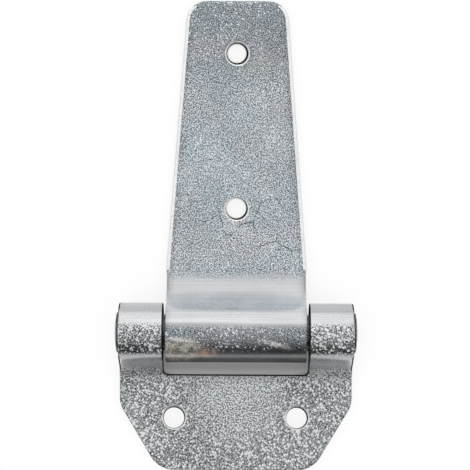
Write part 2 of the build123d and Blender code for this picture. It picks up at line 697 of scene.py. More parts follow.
@dataclass(frozen=True)
class ZincPlating:
    """Zinc over rolled steel: grain and bright flecks, burnished away where the sheet was formed, with bands
    of painted light and shade along the leaf and painted shade at its sides.

    Attributes:
        name: Name of the material.
        axis_y: Where the pin's axis is along Y.
        grainy: Stretches that kept their grain.
        rubs_and_shade: Marks on the plating: rubbed spots and stains, and a patch of painted shade.
        painted_light_bands: Stretches with painted light and shade, and how much lighter or darker each is.
        scratched: Stretch with hairline scratches.
        sides: Painted shade along the borders of the leaf.
        dull: Colour of the dark grains.
        clean: Colour of the light grains.
        tarnish: Colour of the light grains in faint clouds.
        worn_dull: Darker colour of the formed stretches.
        worn_clean: Lighter colour of the formed stretches.
        fleck_colour: Colour of the bright flecks.
        pit_colour: Colour of the pits.
        grain: Width of a grain.
        grain_low: Level of the noise under which a grain is dark.
        lightness: How much lighter the grains are than midway between those two colours.
        fleck: Mean distance between the flecks, and between the pits.
        fleck_size: Radius of the largest flecks, as a share of that distance.
        scarcity: Share of the flecks that are missing.
        pit_size: Radius of the largest pits, as a share of that distance.
        pit_scarcity: Share of the pits that are missing.
        clusters: How much larger the flecks are in clusters.
        knuckle_flecks: How much larger they are on the knuckle, as are the pits.
        ground_shade: Brightness of the grain between strong flecks.
        calm: Distance from the calm place within which the flecks stay faint.
        calm_share: Strength of the flecks there.
        calm_place: A point just above the line of the base holes.
        knuckle: Stretch in front of the roll.
        tip: Distances along the leaf between which its far end gets darker.
        tip_shade: Brightness at the far end of the leaf.
        mottle: Width of the wide noise.
        cloud: Width of the faint clouds.
        streak: Width of the streaks on the formed stretches.
        streak_stretch: How much longer the streaks are along X, Y and Z.
        crack: Distance between the hairline scratches.
        crack_width: Their width, as a share of that distance.
        roughness: Roughness of the grain.
        burnish: Roughness of the formed stretches.
    """

    name: str
    axis_y: float
    grainy: tuple[Band, ...]
    rubs_and_shade: tuple[RubAndShade, ...] = ()
    painted_light_bands: tuple[tuple[Band, float], ...] = ()
    scratched: Band | None = None
    sides: SideShade | None = None
    dull: Colour = (0.085, 0.112, 0.138)
    clean: Colour = (0.865, 0.95, 1.0)
    tarnish: Colour = (0.95, 0.945, 0.985)
    worn_dull: Colour = (0.33, 0.335, 0.34)
    worn_clean: Colour = (0.80, 0.81, 0.825)
    fleck_colour: Colour = (0.95, 0.96, 0.97)
    pit_colour: Colour = (0.06, 0.065, 0.07)
    grain: float = 0.28 * MM
    grain_low: float = 0.29
    lightness: float = 0.0
    fleck: float = 0.80 * MM
    fleck_size: float = 0.5
    scarcity: float = 0.17
    pit_size: float = 0.4
    pit_scarcity: float = 0.17
    clusters: float = 1.0
    knuckle_flecks: float = 1.0
    ground_shade: float = 1.0
    calm: float = 0.0
    calm_share: float = 1.0
    calm_place: Point = (0, 5 * MM, 0)
    knuckle: Band = Band(-7 * MM, 3 * MM)
    tip: tuple[float, float] = (62 * MM, 88 * MM)
    tip_shade: float = 1.0
    mottle: float = 11 * MM
    cloud: float = 13 * MM
    streak: float = 0.5 * MM
    streak_stretch: Point = (60, 1, 1)
    crack: float = 7 * MM
    crack_width: float = 0.021
    roughness: float = 0.55
    burnish: float = 0.27

    def survey(self, recipe: Recipe) -> Spot:
        """Works out what the plating depends on at each place.

        Args:
            recipe: Material to add the nodes to.

        Returns:
            The values at a place.
        """
        x, y, z = recipe.axes()
        run = recipe.less(y, self.axis_y)
        grainy = 0.0
        for band in self.grainy:
            grainy = recipe.math("MAXIMUM", band.mask(recipe, run), grainy)
        away = recipe.node("ShaderNodeVectorMath", recipe.place, self.calm_place, operation="DISTANCE")
        spread = recipe.ramp(away.outputs["Value"], 0.5 * self.calm, 2 * self.calm + MM, self.calm_share, 1)
        return Spot(x, run, z, grainy, spread, recipe.sheet_noise(self.grain), recipe.noise(self.mottle, 3.0),
                    recipe.noise(self.streak, stretch=self.streak_stretch))

    def strew(self, recipe: Recipe, spot: Spot) -> tuple[Socket, Socket]:
        """Strews flecks and pits over the grain.

        Args:
            recipe: Material to add the nodes to.
            spot: Values at a place of the leaf.

        Returns:
            The masks of the flecks and of the pits.
        """
        fleck_shift, pit_shift, pit_strength = 31.7, 73.3, 0.9
        knuckle = recipe.times(self.knuckle.mask(recipe, spot.run), self.knuckle_flecks - 1)
        growth = recipe.plus(knuckle, 1.0)
        larger = recipe.plus(recipe.centred(spot.mottle, self.clusters), recipe.times(spot.spread, 0.5))
        larger = recipe.times(recipe.plus(larger, 0.5), self.fleck_size)
        flecks = recipe.dots(self.fleck, recipe.times(larger, growth), fleck_shift, self.scarcity)
        pits = recipe.dots(self.fleck, recipe.times(growth, self.pit_size), pit_shift, self.pit_scarcity)
        strength = recipe.times(spot.grainy, spot.spread, pit_strength)
        return recipe.times(flecks, spot.grainy), recipe.times(pits, strength)

    def ground(self, recipe: Recipe, spot: Spot) -> Socket:
        """Colours the grain, and the stretches where it was burnished away.

        Args:
            recipe: Material to add the nodes to.
            spot: Values at a place of the leaf.

        Returns:
            The colour under the flecks and pits.
        """
        grain_mottle, worn_mottle, least_grain = 0.35, 0.4, 0.08
        streak_levels, streak_tones = (0.3, 0.7), (0.40, 0.60)
        cloud_levels, cloud_strength, cloud_shift = (0.40, 0.64), 0.8, 0.4
        light = recipe.ramp(spot.grain, self.grain_low, 1 - self.grain_low, 0, 1)
        tone = recipe.plus(light, recipe.plus(recipe.centred(spot.mottle, grain_mottle), self.lightness))
        clouds = recipe.noise(self.cloud, 1.0, shift=cloud_shift)
        clouds = recipe.ramp(clouds, *cloud_levels, 0, cloud_strength)
        grain = recipe.blend(tone, self.dull, recipe.blend(clouds, self.clean, self.tarnish))
        plain = recipe.ramp(spot.streak, *streak_levels, *streak_tones)
        plain = recipe.plus(plain, recipe.centred(spot.mottle, worn_mottle))
        worn = recipe.blend(plain, self.worn_dull, self.worn_clean)
        colour = recipe.blend(recipe.math("MAXIMUM", spot.grainy, least_grain), worn, grain)
        strength = recipe.times(spot.grainy, spot.spread)
        return recipe.scaled(colour, recipe.ramp(strength, 0, 1, 1, self.ground_shade))

    def scratches(self, recipe: Recipe, spot: Spot) -> Socket:
        """Draws hairline scratches in parts of their stretch.

        Args:
            recipe: Material to add the nodes to.
            spot: Values at a place of the leaf.

        Returns:
            How dark they are.
        """
        levels, strength = (0.46, 0.50), 0.85
        lines = recipe.hairlines(self.crack, self.crack_width)
        parts = recipe.ramp(spot.mottle, *levels, 0, strength)
        return recipe.times(lines, self.scratched.mask(recipe, spot.run), parts)

    def with_painted_light(self, recipe: Recipe, spot: Spot, colour: Socket) -> Socket:
        """Paints light and shade on stretches of the leaf and on its borders, and darkens the tip.

        Args:
            recipe: Material to add the nodes to.
            spot: Values at a place of the leaf.
            colour: The colour without painted light and shade.

        Returns:
            The colour, which nowhere reflects more light than falls on it.
        """
        shade = recipe.ramp(spot.run, *self.tip, 1, self.tip_shade)
        # Painted light and shade: each band makes its stretch lighter or darker.
        for band, factor in self.painted_light_bands:
            change = recipe.times(band.mask(recipe, spot.run), factor - 1)
            shade = recipe.times(shade, recipe.plus(change, 1.0))
        colour = recipe.scaled(colour, shade)
        # Painted shade along the borders of the leaf.
        if self.sides:
            colour = recipe.scaled(colour, self.sides.tint(recipe, spot.x, spot.run))
        return recipe.vector("MINIMUM", colour, (1, 1, 1))

    def sheen(self, recipe: Recipe, spot: Spot) -> Socket:
        """Roughness: that of the grain on the flat, smoother on the formed stretches and up on the roll.

        Args:
            recipe: Material to add the nodes to.
            spot: Values at a place of the leaf.

        Returns:
            The roughness.
        """
        flat_heights, roll_heights = (4 * MM, 9 * MM), (7 * MM, 11 * MM)
        low_burnish, mottle_share = 1.4, 0.12
        flat = recipe.times(spot.grainy, recipe.ramp(spot.z, *flat_heights, 1, 0))
        smooth = recipe.ramp(spot.z, *roll_heights, low_burnish * self.burnish, self.burnish)
        rough = recipe.plus(recipe.times(flat, self.roughness), recipe.times(smooth, recipe.rest(flat)))
        return recipe.plus(rough, recipe.centred(spot.mottle, mottle_share))

    def material(self) -> Material:
        """Builds the material.

        Returns:
            The material, on Object coordinates.
        """
        matt_heights, least_matt, matt_share = (3.2 * MM, 6 * MM), 0.1, 0.9
        fleck_relief, streak_relief, bump_strength = 0.6, 0.04, 0.6
        recipe = Recipe(self.name)
        spot = self.survey(recipe)
        flecks, pits = self.strew(recipe, spot)
        colour = recipe.blend(pits, self.ground(recipe, spot), self.pit_colour)
        if self.scratched:
            colour = recipe.blend(self.scratches(recipe, spot), colour, self.pit_colour)
        colour = recipe.blend(flecks, self.with_painted_light(recipe, spot, colour), self.fleck_colour)
        matt = recipe.times(flecks, recipe.ramp(spot.z, *matt_heights, least_matt, 1))
        # Rubbed spots and stains, and painted shade round a hole.
        for rub_and_shade in self.rubs_and_shade:
            mark = rub_and_shade.mask(recipe, spot)
            colour = recipe.blend(mark, colour, rub_and_shade.colour)
            matt = recipe.math("MAXIMUM", matt, mark)
        height = recipe.plus(recipe.times(spot.grain, spot.grainy), recipe.times(flecks, fleck_relief))
        recipe.bump(recipe.plus(height, recipe.times(spot.streak, streak_relief)), bump_strength)
        recipe.dress(Base_Color=colour, Metallic=recipe.rest(recipe.times(matt, matt_share)),
                     Roughness=self.sheen(recipe, spot))
        return recipe.material


@dataclass(frozen=True)
class BurnishedAndShade:
    """Metal of one tone with nicks and wear, for edges, walls and the pin; near black and matt, it paints
    shade on the walls of the holes and gaps.

    Attributes:
        name: Name of the material.
        dull: Colour of the hollows.
        bright: Colour of the rubbed metal.
        roughness: Roughness of the metal.
        metallic: How much bare metal shows, the rest being matt: dull steel on the sheared walls, painted
            shade on the walls of the holes and gaps.
        nick: Width of the nicks.
        wear: Width of the worn places.
    """

    name: str
    dull: Colour = (0.82, 0.825, 0.825)
    bright: Colour = (1.0, 1.0, 0.99)
    roughness: float = 0.27
    metallic: float = 1.0
    nick: float = 0.9 * MM
    wear: float = 4 * MM

    def material(self) -> Material:
        """Builds the material.

        Returns:
            The material, on Object coordinates.
        """
        nick_levels, nick_strength, bump_strength = (0.32, 0.55), 0.8, 0.3
        wear_tone, wear_rough, specular = 1.2, 0.2, 0.5
        recipe = Recipe(self.name)
        nicks = recipe.noise(self.nick, 3.0)
        wear = recipe.noise(self.wear)
        nicked = recipe.ramp(nicks, *nick_levels, 0, nick_strength)
        tone = recipe.plus(nicked, recipe.centred(wear, wear_tone))
        recipe.bump(nicks, bump_strength)
        recipe.dress(Base_Color=recipe.blend(tone, self.dull, self.bright), Metallic=self.metallic,
                     Specular_IOR_Level=specular * self.metallic,
                     Roughness=recipe.plus(self.roughness, recipe.centred(wear, wear_rough)))
        return recipe.material


@dataclass
class RolledLeaf:
    """A leaf of sheet that leaves the mounting plane, climbs a ramp and is rolled round the pin.

    Attributes:
        name: Name of the piece.
        node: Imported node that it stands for.
        body: Body that it moves with.
        slot: Material slot of the record.
        reach: Which way it runs from the pin.
        axis: A point on the pin's axis.
        length: Distance from the axis to the leaf's far end.
        width: Greatest width of the flat.
        ramp_angle: Turn of the bend, in degrees.
        bend_radius: Radius of the bend on its front.
        holes: The screw holes.
        knuckle_radius: Outer radius of the roll.
        sheet: Thickness of the sheet.
        seam_gap: Room between the end of the roll and the back of the ramp.
        edge_round: Rounding of the front edges.
        hole_round: Rounding of the front edges of the holes.
        gap_round: Rounding of the front edges at the gaps between the knuckles.
        gap_reach: Distance from the middle within which those gaps lie.
        gap_depth: Distance from the axis along the leaf up to which they run.
        back_break: Rounding of the back edges.
        bend_steps: Facets of the bend.
        roll_steps: Facets of the roll.
        round_steps: Facets of the rounded edges.
        upright: Upward share of a face's normal under which it counts as upright.
        wall_tilt: That share under which a face of the rim counts as its wall.
    """

    name: str
    node: str
    body: Body
    slot: str
    reach: Reach
    axis: Vector
    length: float
    width: float
    ramp_angle: float
    bend_radius: float
    holes: list[Hole]
    knuckle_radius: float = 8.25 * MM
    sheet: float = 3.0 * MM
    seam_gap: float = 0.6 * MM
    edge_round: float = 0.75 * MM
    hole_round: float = 0.34 * MM
    gap_round: float = 0.25 * MM
    gap_reach: float = 21.0 * MM
    gap_depth: float = 9.9 * MM
    back_break: float = 0.15 * MM
    bend_steps: int = 18
    roll_steps: int = 110
    round_steps: int = 5
    upright: float = 0.1
    wall_tilt: float = 0.2

    @property
    def bend_start(self) -> float:
        """Where the sheet leaves the mounting plane.

        Returns:
            Its distance from the axis, along the leaf.
        """
        ramp = math.radians(self.ramp_angle)
        rise = self.sheet + self.bend_radius - self.axis.z
        return (self.knuckle_radius + self.bend_radius - rise * math.cos(ramp)) / math.sin(ramp)

    @property
    def roll_turn(self) -> float:
        """Turn of the roll, in degrees."""
        eye = self.knuckle_radius - self.sheet
        return 360 - math.degrees(math.acos((eye - self.seam_gap) / self.knuckle_radius))

    def along(self, distance: float) -> float:
        """Y of a point on the leaf, from its distance to the pin's axis."""
        return self.axis.y + self.reach * distance

    def blank(self) -> Piece:
        """Flat front of the leaf, from its end to the start of the bend, on the front plane.

        Returns:
            The new object.
        """
        flat = self.length - self.bend_start
        middle = self.along(self.bend_start + flat / 2)
        Bench.clear()
        bpy.ops.mesh.primitive_plane_add(size=1, location=(0, middle, self.sheet))
        bpy.context.object.scale = (self.width, flat, 1)
        return Bench.settle(self.name)

    def trim(self, piece: Piece) -> None:
        """Cuts the flat to its outline, in edit mode.

        Args:
            piece: The flat.
        """
        raise NotImplementedError

    def pierce(self, piece: Piece) -> None:
        """Punches the screw holes.

        Args:
            piece: The leaf, with its thickness.
        """
        for hole in self.holes:
            Bench.cut(piece, Bench.punch(hole, self.sheet), Surface.BORE)

    def roll(self, piece: Piece) -> None:
        """Bends the inner edge of the flat, draws the ramp and rolls the knuckle.

        Args:
            piece: The flat, trimmed, in edit mode.
        """
        start = self.along(self.bend_start)
        ramp = math.radians(self.ramp_angle)
        Bench.pick(piece, "edges", lambda edge: all(abs(v.co.y - start) < TOUCHING for v in edge.verts))
        bend_centre = (0, start, self.sheet + self.bend_radius)
        bpy.ops.mesh.spin(steps=self.bend_steps, angle=ramp, center=bend_centre, axis=(self.reach, 0, 0))
        normal = Vector((0, self.reach * math.sin(ramp), math.cos(ramp)))
        foot = Vector(bend_centre) - normal * self.bend_radius
        head = self.axis + normal * self.knuckle_radius
        step = head - foot
        bpy.ops.mesh.extrude_edges_move(TRANSFORM_OT_translate={"value": (0, step.y, step.z)})
        bpy.ops.mesh.spin(steps=self.roll_steps, angle=math.radians(self.roll_turn),
                          center=self.axis, axis=(-self.reach, 0, 0))
        bpy.ops.mesh.select_all(action="SELECT")
        bpy.ops.mesh.remove_doubles(threshold=TOUCHING)
        bpy.ops.mesh.normals_make_consistent(inside=False)

    def face_forward(self, piece: Piece) -> None:
        """Turns the sheet's normals to its front, in edit mode.

        Args:
            piece: The rolled sheet, still without thickness.
        """
        mesh = bmesh.from_edit_mesh(piece.data)
        largest = max(mesh.faces, key=lambda face: face.calc_area())
        if largest.normal.z < 0:
            bpy.ops.mesh.flip_normals()

    def weigh_edges(self, piece: Piece) -> None:
        """Marks how much each edge is rounded: front edges most, back edges least.

        Args:
            piece: The leaf, cut and with its thickness.
        """
        mesh = bmesh.new()
        mesh.from_mesh(piece.data)
        weight = mesh.edges.layers.float.new("bevel_weight_edge")
        for edge in mesh.edges:
            sides = {face.material_index for face in edge.link_faces}
            if len(edge.link_faces) != 2 or len(sides) == 1 or sides == {Surface.FRONT, Surface.BACK}:
                continue
            if Surface.FRONT not in sides:
                rounding = self.back_break
            elif Surface.BORE in sides:
                rounding = self.hole_round
            else:
                rounding = self.gap_round if self.faces_gap(edge) else self.edge_round
            edge[weight] = rounding / self.edge_round
        mesh.to_mesh(piece.data)
        mesh.free()

    def faces_gap(self, edge: bmesh.types.BMEdge) -> bool:
        """Says whether an edge runs along the narrow gap between two knuckles."""
        middle = (edge.verts[0].co + edge.verts[1].co) / 2
        return self.reach * (middle.y - self.axis.y) < self.gap_depth and abs(middle.x) < self.gap_reach

    def shade_gaps(self, piece: Piece) -> None:
        """Gives the walls of the gaps between the knuckles their near-black finish, which is painted shade.

        Args:
            piece: The leaf, before its edges are rounded.
        """
        for face in piece.data.polygons:
            near = self.reach * (face.center.y - self.axis.y) < self.gap_depth
            if near and abs(face.normal.z) < self.upright and abs(face.center.x) < self.gap_reach:
                face.material_index = Surface.GAP

    def dress_rims(self, piece: Piece) -> None:
        """Gives the rounded edges another finish where the leaf calls for it.

        Args:
            piece: The leaf, with its edges rounded.
        """

    def dress_walls(self, piece: Piece) -> None:
        """Tells the sheared walls, which stay dull, from the rubbed edges above them.

        Args:
            piece: The leaf, with its rims dressed.
        """
        for face in piece.data.polygons:
            if face.material_index == Surface.EDGE and face.normal.z < self.wall_tilt:
                face.material_index = Surface.WALL

    def build(self, finishes: dict[Surface, Material]) -> Piece:
        """Models the leaf and gives it its finishes.

        Args:
            finishes: Material of each surface.

        Returns:
            The finished piece, riding on its body.
        """
        piece = self.blank()
        for surface in Surface:
            piece.data.materials.append(finishes[surface])
        bpy.ops.object.mode_set(mode="EDIT")
        self.trim(piece)
        self.roll(piece)
        self.face_forward(piece)
        bpy.ops.object.mode_set(mode="OBJECT")
        Bench.apply(piece, "SOLIDIFY", thickness=self.sheet, offset=-1.0, use_even_offset=True,
                    use_quality_normals=True, material_offset=Surface.BACK, material_offset_rim=Surface.EDGE)
        self.pierce(piece)
        self.weigh_edges(piece)
        self.shade_gaps(piece)
        Bench.apply(piece, "BEVEL", width=self.edge_round, segments=self.round_steps, limit_method="WEIGHT",
                    material=Surface.EDGE, use_clamp_overlap=False, loop_slide=False)
        self.dress_rims(piece)
        self.dress_walls(piece)
        Bench.smooth(piece)
        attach(piece, self.body.value)
        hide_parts(self.node)
        return piece


@dataclass
class StrapLeaf(RolledLeaf):
    """Tapered strap with the central knuckle.

    Attributes:
        tip_width: Width at the tip.
        tip_radius: Radius of the tip's corners.
        tip_steps: Facets of the tip's corners.
    """

    tip_width: float = 27.6 * MM
    tip_radius: float = 5.5 * MM
    tip_steps: int = 10

    def trim(self, piece: Piece) -> None:
        """Tapers the flat and rounds its tip, in edit mode.

        Args:
            piece: The flat.
        """
        tip = self.along(self.length)
        Bench.pick(piece, "verts", lambda vert: abs(vert.co.y - tip) < TOUCHING)
        taper = self.tip_width / self.width
        bpy.ops.transform.resize(value=(taper, 1, 1), center_override=(0, tip, self.sheet))
        lean = math.atan2((self.width - self.tip_width) / 2, self.length - self.bend_start)
        run = self.tip_radius * math.tan((math.pi / 2 - lean) / 2)
        bpy.ops.mesh.bevel(offset=run, segments=self.tip_steps, affect="VERTICES")

    def dress_rims(self, piece: Piece) -> None:
        """Lets the plating run over the rims of the tip and the ramp, which are not rubbed like the sides.

        Args:
            piece: The strap, with its edges rounded.
        """
        tip = self.along(self.length - 2 * self.edge_round)
        ramp = self.along(self.bend_start)
        for face in piece.data.polygons:
            if face.material_index == Surface.EDGE and not ramp < face.center.y < tip:
                face.material_index = Surface.FRONT


@dataclass
class BaseLeaf(RolledLeaf):
    """Screwed plate with cut lower corners, a notch for the strap and the two outer knuckles.

    Attributes:
        side_length: Distance from the axis to the end of the straight sides.
        foot_width: Width at the lower edge.
        corner_radius: Radius of the lower corners.
        notch_width: Width of the notch.
        notch_edge: Distance from the axis to the edge of the notch.
        notch_radius: Radius of the notch's corners.
        corner_steps: Facets of the lower corners, and of the notch's.
        rim_tilt: Upward share of the normal above which the plating covers the rim.
    """

    side_length: float = 20.5 * MM
    foot_width: float = 43.0 * MM
    corner_radius: float = 7.0 * MM
    notch_width: float = 40.5 * MM
    notch_edge: float = 12.1 * MM
    notch_radius: float = 1.2 * MM
    corner_steps: int = 8
    rim_tilt: float = 0.6

    def trim(self, piece: Piece) -> None:
        """Cuts off the lower corners and rounds what is left of them, in edit mode.

        Args:
            piece: The flat.
        """
        inset = (self.width - self.foot_width) / 2
        drop = self.length - self.side_length
        for side in (-1, 1):
            bpy.ops.mesh.select_all(action="SELECT")
            corner = (side * self.width / 2, self.along(self.side_length), self.sheet)
            outward = Vector((side * drop, self.reach * inset, 0)).normalized()
            bpy.ops.mesh.bisect(plane_co=corner, plane_no=outward, clear_outer=True, threshold=TOUCHING)
        slant = math.atan2(inset, drop)
        turns = {self.along(self.side_length): slant, self.along(self.length): math.pi / 2 - slant}
        for row, turn in turns.items():
            Bench.pick(piece, "verts", lambda vert, row=row: abs(vert.co.y - row) < TOUCHING)
            run = self.corner_radius * math.tan(turn / 2)
            bpy.ops.mesh.bevel(offset=run, segments=self.corner_steps, affect="VERTICES")

    def pierce(self, piece: Piece) -> None:
        """Punches the screw holes and the notch.

        Args:
            piece: The leaf, with its thickness.
        """
        super().pierce(piece)
        reach = 2 * self.notch_edge
        Bench.clear()
        middle = (0, self.along(self.notch_edge - reach / 2), self.axis.z)
        bpy.ops.mesh.primitive_cube_add(size=1, location=middle)
        bpy.context.object.scale = (self.notch_width, reach, 3 * self.axis.z)
        block = Bench.settle("notch_block")
        edge = self.along(self.notch_edge)
        bpy.ops.object.mode_set(mode="EDIT")
        Bench.pick(block, "edges", lambda e: all(abs(v.co.y - edge) < TOUCHING for v in e.verts)
                   and abs(e.verts[0].co.x - e.verts[1].co.x) < TOUCHING)
        bpy.ops.mesh.bevel(offset=self.notch_radius, segments=self.corner_steps)
        bpy.ops.object.mode_set(mode="OBJECT")
        Bench.cut(piece, block, Surface.EDGE)

    def dress_rims(self, piece: Piece) -> None:
        """Lets the plating run over the upper part of the outer rim, which is not rubbed, and paints shade on
        its lower part and on the rims by the gaps and the notch.

        Args:
            piece: The leaf, with its edges rounded.
        """
        for face in piece.data.polygons:
            outside = abs(face.center.x) > self.gap_reach or face.center.y < self.along(self.gap_depth)
            clear = all((face.center - Vector(hole.place)).length > 2 * hole.front for hole in self.holes)
            if face.material_index == Surface.EDGE and clear and face.normal.z > self.upright:
                plated = outside and face.normal.z > self.rim_tilt
                # Painted shade: rims that the plating leaves get the near-black gap finish.
                face.material_index = Surface.FRONT if plated else Surface.GAP


@dataclass
class HingePin:
    """Pin through the three knuckles, its ends spread by the riveting.

    Attributes:
        axis: A point on its axis, at its middle.
        shank_length: Length between the heads.
        radius: Radius of the shank.
        head_radius: Radius of the spread ends.
        head_height: Height of the spread ends.
        rim_share: Share of that height at the rim, with the rest domed.
        rim_round: Rounding of the rim, as a share of its height.
        dome_share: Share of the shank's radius that the dome's rings take up.
        dome_rings: Rings of faces on the dome.
        sides: Facets round the pin.
        name: Name of the piece.
    """

    axis: Vector
    shank_length: float = 65.0 * MM
    radius: float = 5.0 * MM
    head_radius: float = 5.6 * MM
    head_height: float = 1.1 * MM
    rim_share: float = 0.6
    rim_round: float = 0.4
    dome_share: float = 0.85
    dome_rings: int = 6
    sides: int = 72
    name: str = "riveted_pin"

    def build(self, finish: Material) -> Piece:
        """Models the pin and gives it its finish.

        Args:
            finish: Material of the pin.

        Returns:
            The finished piece, riding on the base.
        """
        Bench.clear()
        bpy.ops.mesh.primitive_cylinder_add(vertices=self.sides, radius=self.radius, depth=self.shank_length,
                                            location=self.axis, rotation=(0, math.pi / 2, 0))
        pin = Bench.settle(self.name)
        pin.data.materials.append(finish)
        bpy.ops.object.mode_set(mode="EDIT")
        spread = self.head_radius / self.radius
        rings = self.dome_rings + 1
        end_facing, top_facing = 0.9, 0.99
        for side in (-1, 1):
            end = side * self.shank_length / 2
            centre = (end, self.axis.y, self.axis.z)
            Bench.pick(pin, "faces", lambda face, side=side: side * face.normal.x > end_facing)
            bpy.ops.mesh.extrude_region_move()
            bpy.ops.transform.resize(value=(1, spread, spread), center_override=centre)
            rim = side * self.rim_share * self.head_height
            bpy.ops.mesh.extrude_region_move(TRANSFORM_OT_translate={"value": (rim, 0, 0)})
            bpy.ops.mesh.bevel(offset=self.rim_round * abs(rim), segments=3)
            Bench.pick(pin, "faces", lambda face, side=side: side * face.normal.x > top_facing)
            for ring in range(1, rings):
                rise = side * self.head_height * (1 - self.rim_share) * (2 - 2 * (ring / rings) + 1 / rings)
                bpy.ops.mesh.inset(thickness=self.dome_share * self.radius / rings)
                bpy.ops.transform.translate(value=(rise / rings, 0, 0))
        bpy.ops.object.mode_set(mode="OBJECT")
        Bench.smooth(pin)
        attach(pin, Body.BASE.value)
        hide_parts("hinge_pin")
        return pin


@dataclass
class Studio:
    """White table, soft light from the strap's end, and a camera square to the leaves.

    Attributes:
        aim: Point on the front of the leaves that the camera looks at.
        knuckle_y: Where the knuckles are along Y, below which the table shows in the notch.
        distance: From the camera to that point.
        view_width: Width of the picture at that point.
        roll: Turn of the camera about its line of sight, in degrees.
        sensor: Width of the camera's sensor, in millimetres.
        table_width: Width of the table.
        table_drop: How far the table lies under the mounting plane.
        table_paint: Colour of the table.
        notch: Stretch of the table that shows in the notch, where it gets painted shadow.
        notch_sides: Distances from the middle between which that strip ends.
        softbox: Width and depth of the lamp.
        softbox_power: Power of the lamp, in watts.
        softbox_lean: Turn of the lamp from straight above towards the strap's end, in degrees.
        softbox_distance: From the lamp to the point that the camera looks at.
        room: Places from the base's end of the room to the strap's, and how light each is.
    """

    aim: Vector
    knuckle_y: float
    distance: float = 0.56
    view_width: float = 131.76 * MM
    roll: float = 0.3
    sensor: float = 36.0
    table_width: float = 8.0
    table_drop: float = 0.02 * MM
    table_paint: Colour = (0.86, 0.86, 0.86)
    notch: Band = Band(-13.5 * MM, -2.5 * MM, 0.3 * MM)
    notch_sides: tuple[float, float] = (21 * MM, 22 * MM)
    softbox: tuple[float, float] = (1.1, 0.50)
    softbox_power: float = 0.8
    softbox_lean: float = 54.0
    softbox_distance: float = 0.9
    room: tuple[tuple[float, float], ...] = (
        (0.0, 0.05), (0.10, 0.16), (0.26, 0.60), (0.5, 0.90), (0.9, 0.90), (1.0, 0.88))

    def camera(self) -> None:
        """Sets up the camera, looking straight down with the strap up in the picture."""
        data = bpy.data.cameras.new("camera")
        data.sensor_width = self.sensor
        data.lens = self.sensor * self.distance / self.view_width
        camera = bpy.data.objects.new("camera", data)
        camera.location = self.aim + Vector((0, 0, self.distance))
        camera.rotation_euler = (0, 0, math.radians(self.roll))
        bpy.context.scene.collection.objects.link(camera)
        bpy.context.scene.camera = camera

    def seen_level(self, recipe: Recipe, open_sky: Socket) -> Socket:
        """How light the table looks to the camera.

        It carries painted shadow: grey in the notch and lighter towards its foot, black in narrow gaps and a
        little darker round the hinge, with a thin painted contact shadow along the strap.

        Args:
            recipe: Material to add the nodes to.
            open_sky: How open each place of the table is.

        Returns:
            The level, 1 for white.
        """
        notch_levels, notch_greys = (0.05, 0.45), (0.21, 0.26)
        notch_foot, foot_lift = (-12 * MM, -10 * MM), 1.5
        gap_levels, gap_black = (0.08, 0.16), 0.03
        halo_levels, halo_shade = (0.2, 0.95), 0.89
        line_reach, line_samples = 1.0 * MM, 32
        line_levels, line_shade, line_start = (0.5, 0.8), 0.36, (15 * MM, 18 * MM)
        x, y, _ = recipe.axes()
        run = recipe.less(y, self.knuckle_y)
        within = recipe.ramp(recipe.math("ABSOLUTE", x), *self.notch_sides, 1, 0)
        notch = recipe.times(self.notch.mask(recipe, run), within)
        # Painted shadow in the notch, lighter towards its foot.
        grey = recipe.times(recipe.ramp(open_sky, *notch_levels, *notch_greys),
                            recipe.ramp(run, *notch_foot, foot_lift, 1.0))
        level = recipe.math("MAXIMUM", grey, recipe.rest(notch))
        # Painted shadow: black in narrow gaps, and a faint halo round the hinge.
        gaps = recipe.ramp(open_sky, *gap_levels, gap_black, 1.0)
        halo = recipe.ramp(open_sky, *halo_levels, halo_shade, 1.0)
        # Painted contact shadow: a thin line along the strap.
        touching = recipe.ramp(recipe.openness(line_reach, line_samples), *line_levels, line_shade, 0.0)
        line = recipe.times(touching, recipe.ramp(run, *line_start, 0, 1))
        return recipe.times(level, gaps, halo, recipe.rest(line))

    def table(self) -> Material:
        """Finish of the table: pale paint to the light, and white to the camera and in the metal, with
        painted shadow where the hinge closes it in.

        Returns:
            The material.
        """
        roughness, shade_reach, shade_samples = 0.9, 30 * MM, 64
        mirror_levels, mirror_black = (0.12, 0.35), 0.03
        recipe = Recipe("white_table")
        recipe.dress(Base_Color=(*self.table_paint, 1), Roughness=roughness)
        open_sky = recipe.openness(shade_reach, shade_samples)
        path = recipe.node("ShaderNodeLightPath").outputs
        # In the metal, the table shows painted black shadow where the hinge closes it in.
        mirrored_shadow = recipe.ramp(open_sky, *mirror_levels, mirror_black, 1.0)
        glow = recipe.node("ShaderNodeEmission")
        level = recipe.between(path["Is Camera Ray"], mirrored_shadow, self.seen_level(recipe, open_sky))
        recipe.feed(glow.inputs["Strength"], level)
        seen = recipe.plus(path["Is Camera Ray"], path["Is Glossy Ray"])
        seen = recipe.math("MINIMUM", recipe.plus(seen, path["Is Transmission Ray"]), 1.0)
        mix = recipe.node("ShaderNodeMixShader", seen, recipe.shader.outputs[0], glow.outputs[0])
        recipe.feed(recipe.tree.nodes["Material Output"].inputs[0], mix.outputs[0])
        return recipe.material

    def floor(self) -> None:
        """Lays the table under the hinge."""
        Bench.clear()
        bpy.ops.mesh.primitive_plane_add(size=self.table_width, location=(0, 0, -self.table_drop))
        floor = Bench.settle("floor")
        floor.data.materials.append(self.table())
        floor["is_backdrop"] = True

    def lamp(self) -> None:
        """Hangs a softbox beyond the strap's tip."""
        data = bpy.data.lights.new("softbox", "AREA")
        data.shape = "RECTANGLE"
        data.size, data.size_y = self.softbox
        data.energy = self.softbox_power
        softbox = bpy.data.objects.new("softbox", data)
        lean = math.radians(self.softbox_lean)
        back = Vector((0, math.sin(lean), math.cos(lean)))
        softbox.location = self.aim + back * self.softbox_distance
        softbox.rotation_euler = back.to_track_quat("Z", "X").to_euler()
        bpy.context.scene.collection.objects.link(softbox)

